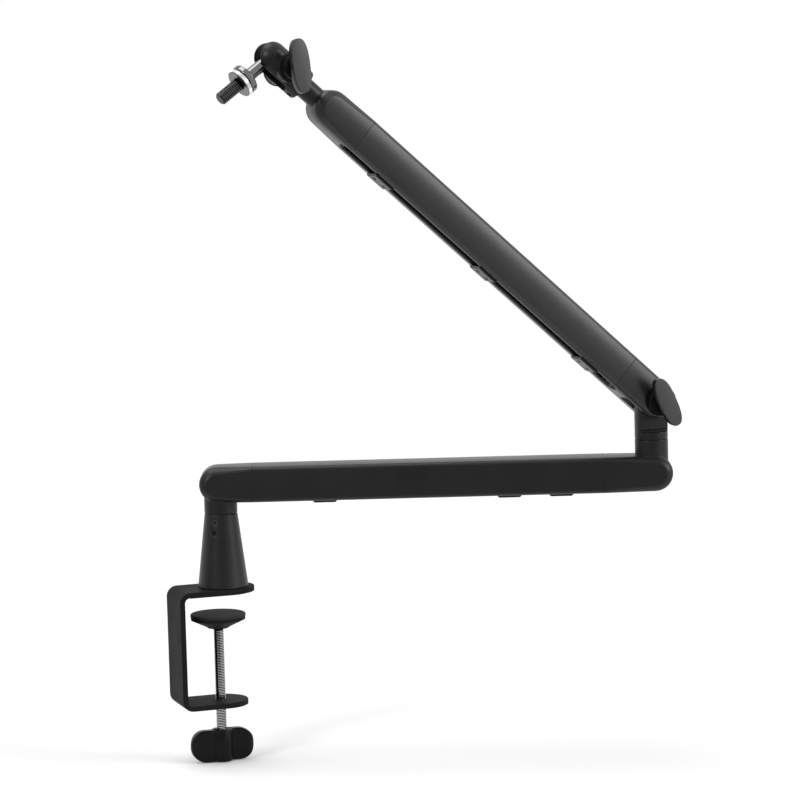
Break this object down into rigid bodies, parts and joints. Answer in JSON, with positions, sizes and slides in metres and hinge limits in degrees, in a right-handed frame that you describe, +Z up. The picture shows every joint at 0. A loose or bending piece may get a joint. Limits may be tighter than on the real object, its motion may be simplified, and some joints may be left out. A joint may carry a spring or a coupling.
{
  "type": "microphone boom arm",
  "caption": "Low-profile desk boom arm: C-clamp, conical riser, two channelled arms, tilting elbow and a ball head with a threaded stud.",
  "frame": {"origin": "on the base swivel axis, at the rubber face under the top tongue that rests on the desk", "axes": "+Z up along the base swivel axis, +X from the clamp's spine towards its open mouth"},
  "size_m": [0.3663, 0.1756, 0.5465],
  "materials": {
    "powder_black": "matte black powder coat on bent steel",
    "cast_black": "matte black painted die-cast aluminium",
    "tube_black": "fine matte black anodised extrusion",
    "plastic_black": "black moulded nylon",
    "rubber_black": "dull black rubber",
    "zinc_screw": "bright zinc plate",
    "plain_steel": "turned steel",
    "oxide_steel": "black oxide on steel",
    "gloss_black": "polished black plate on steel",
    "nickel_ring": "satin nickel with a knurled rim"
  },
  "bodies": {
    "clamp": {"clamp_bracket": "powder_black", "desk_pad": "rubber_black", "riser": "cast_black", "riser_bolts": "zinc_screw", "riser_set_screws": "oxide_steel"},
    "pressure_pad": {"pressure_plate": "powder_black", "pressure_rubber": "rubber_black"},
    "clamp_screw": {"clamp_screw": "zinc_screw", "clamp_knob": "plastic_black", "screw_clip": "plain_steel"},
    "lower_arm": {"lower_rear_cap": "cast_black", "lower_tube": "tube_black", "lower_front_cap": "cast_black", "base_spindle": "plain_steel", "base_washer": "plastic_black", "lower_cap_screws": "oxide_steel"},
    "lower_clip_1": {"lower_clip_1": "plastic_black"},
    "lower_clip_2": {"lower_clip_2": "plastic_black"},
    "lower_clip_3": {"lower_clip_3": "plastic_black"},
    "elbow": {"elbow_yoke": "cast_black", "elbow_spindle": "plain_steel", "elbow_washer": "plastic_black", "elbow_lock_screw": "oxide_steel"},
    "upper_arm": {"upper_rear_cap": "cast_black", "upper_tube": "tube_black", "upper_front_cap": "cast_black", "upper_cap_screws": "oxide_steel", "hinge_washers": "plastic_black", "hinge_nut": "zinc_screw", "head_neck": "cast_black"},
    "upper_clip_1": {"upper_clip_1": "plastic_black"},
    "upper_clip_2": {"upper_clip_2": "plastic_black"},
    "upper_clip_3": {"upper_clip_3": "plastic_black"},
    "elbow_knob": {"elbow_knob": "plastic_black", "hinge_bolt": "plain_steel"},
    "head": {"head_housing": "cast_black", "head_grub_screw": "oxide_steel", "head_clamp_nut": "zinc_screw"},
    "head_knob": {"head_knob": "plastic_black", "head_bolt": "plain_steel"},
    "ball": {"ball": "gloss_black"},
    "stem": {"ball_stem": "gloss_black", "mic_stud": "oxide_steel"},
    "lock_ring": {"lock_ring": "nickel_ring"}
  },
  "joints": [
    {"name": "jaw_travel", "type": "slide", "parent": "clamp", "child": "pressure_pad", "axis": [0, 0, 1], "range_m": [-0.0535, 0.0142]},
    {"name": "screw_turn", "type": "hinge", "parent": "pressure_pad", "child": "clamp_screw", "pos_m": [-0.005, 0, -0.06], "axis": [0, 0, 1], "range_deg": [-15409, 4091]},
    {"name": "base_swivel", "type": "hinge", "parent": "clamp", "child": "lower_arm", "pos_m": [0, 0, 0.061], "axis": [0, 0, 1], "continuous": true},
    {"name": "lower_clip_1_slide", "type": "slide", "parent": "lower_arm", "child": "lower_clip_1", "axis": [0.9483, -0.3173, 0], "range_m": [-0.04, 0.05]},
    {"name": "lower_clip_2_slide", "type": "slide", "parent": "lower_arm", "child": "lower_clip_2", "axis": [0.9483, -0.3173, 0], "range_m": [-0.067, 0.009]},
    {"name": "lower_clip_3_slide", "type": "slide", "parent": "lower_arm", "child": "lower_clip_3", "axis": [0.9483, -0.3173, 0], "range_m": [-0.009, 0.021]},
    {"name": "elbow_swivel", "type": "hinge", "parent": "lower_arm", "child": "elbow", "pos_m": [0.30915, -0.10344, 0.1087], "axis": [0, 0, 1], "continuous": true},
    {"name": "elbow_tilt", "type": "hinge", "parent": "elbow", "child": "upper_arm", "pos_m": [0.30915, -0.10344, 0.1392], "axis": [-0.0698, 0.9976, 0], "range_deg": [-41.8, 48.2]},
    {"name": "upper_clip_1_slide", "type": "slide", "parent": "upper_arm", "child": "upper_clip_1", "axis": [-0.7437, -0.052, 0.6665], "range_m": [-0.0145, 0.045]},
    {"name": "upper_clip_2_slide", "type": "slide", "parent": "upper_arm", "child": "upper_clip_2", "axis": [-0.7437, -0.052, 0.6665], "range_m": [-0.043, 0.045]},
    {"name": "upper_clip_3_slide", "type": "slide", "parent": "upper_arm", "child": "upper_clip_3", "axis": [-0.7437, -0.052, 0.6665], "range_m": [-0.042, 0.024]},
    {"name": "elbow_knob_turn", "type": "hinge", "parent": "upper_arm", "child": "elbow_knob", "pos_m": [0.3102, -0.1184, 0.1392], "axis": [0.0698, -0.9976, 0], "continuous": true},
    {"name": "head_swivel", "type": "hinge", "parent": "upper_arm", "child": "head", "pos_m": [0.0366, -0.1225, 0.38348], "axis": [-0.7437, -0.052, 0.6665], "continuous": true},
    {"name": "head_knob_turn", "type": "hinge", "parent": "head", "child": "head_knob", "pos_m": [0.02344, -0.12342, 0.39528], "axis": [0.1616, -0.9814, 0.1038], "continuous": true},
    {"name": "ball_swing", "type": "hinge", "parent": "head", "child": "ball", "pos_m": [0.01355, -0.12411, 0.40415], "axis": [0.1616, -0.9814, 0.1038], "range_deg": [-166, 14]},
    {"name": "stem_spin", "type": "hinge", "parent": "ball", "child": "stem", "pos_m": [0.01355, -0.12411, 0.40415], "axis": [-0.8094, -0.192, -0.555], "continuous": true},
    {"name": "ring_travel", "type": "slide", "parent": "stem", "child": "lock_ring", "axis": [-0.8094, -0.192, -0.555], "range_m": [0, 0.0185]}
  ],
  "couplings": [
    {"joint": "screw_turn", "follows": "jaw_travel", "rad_per_m": 5026.5}
  ]
}
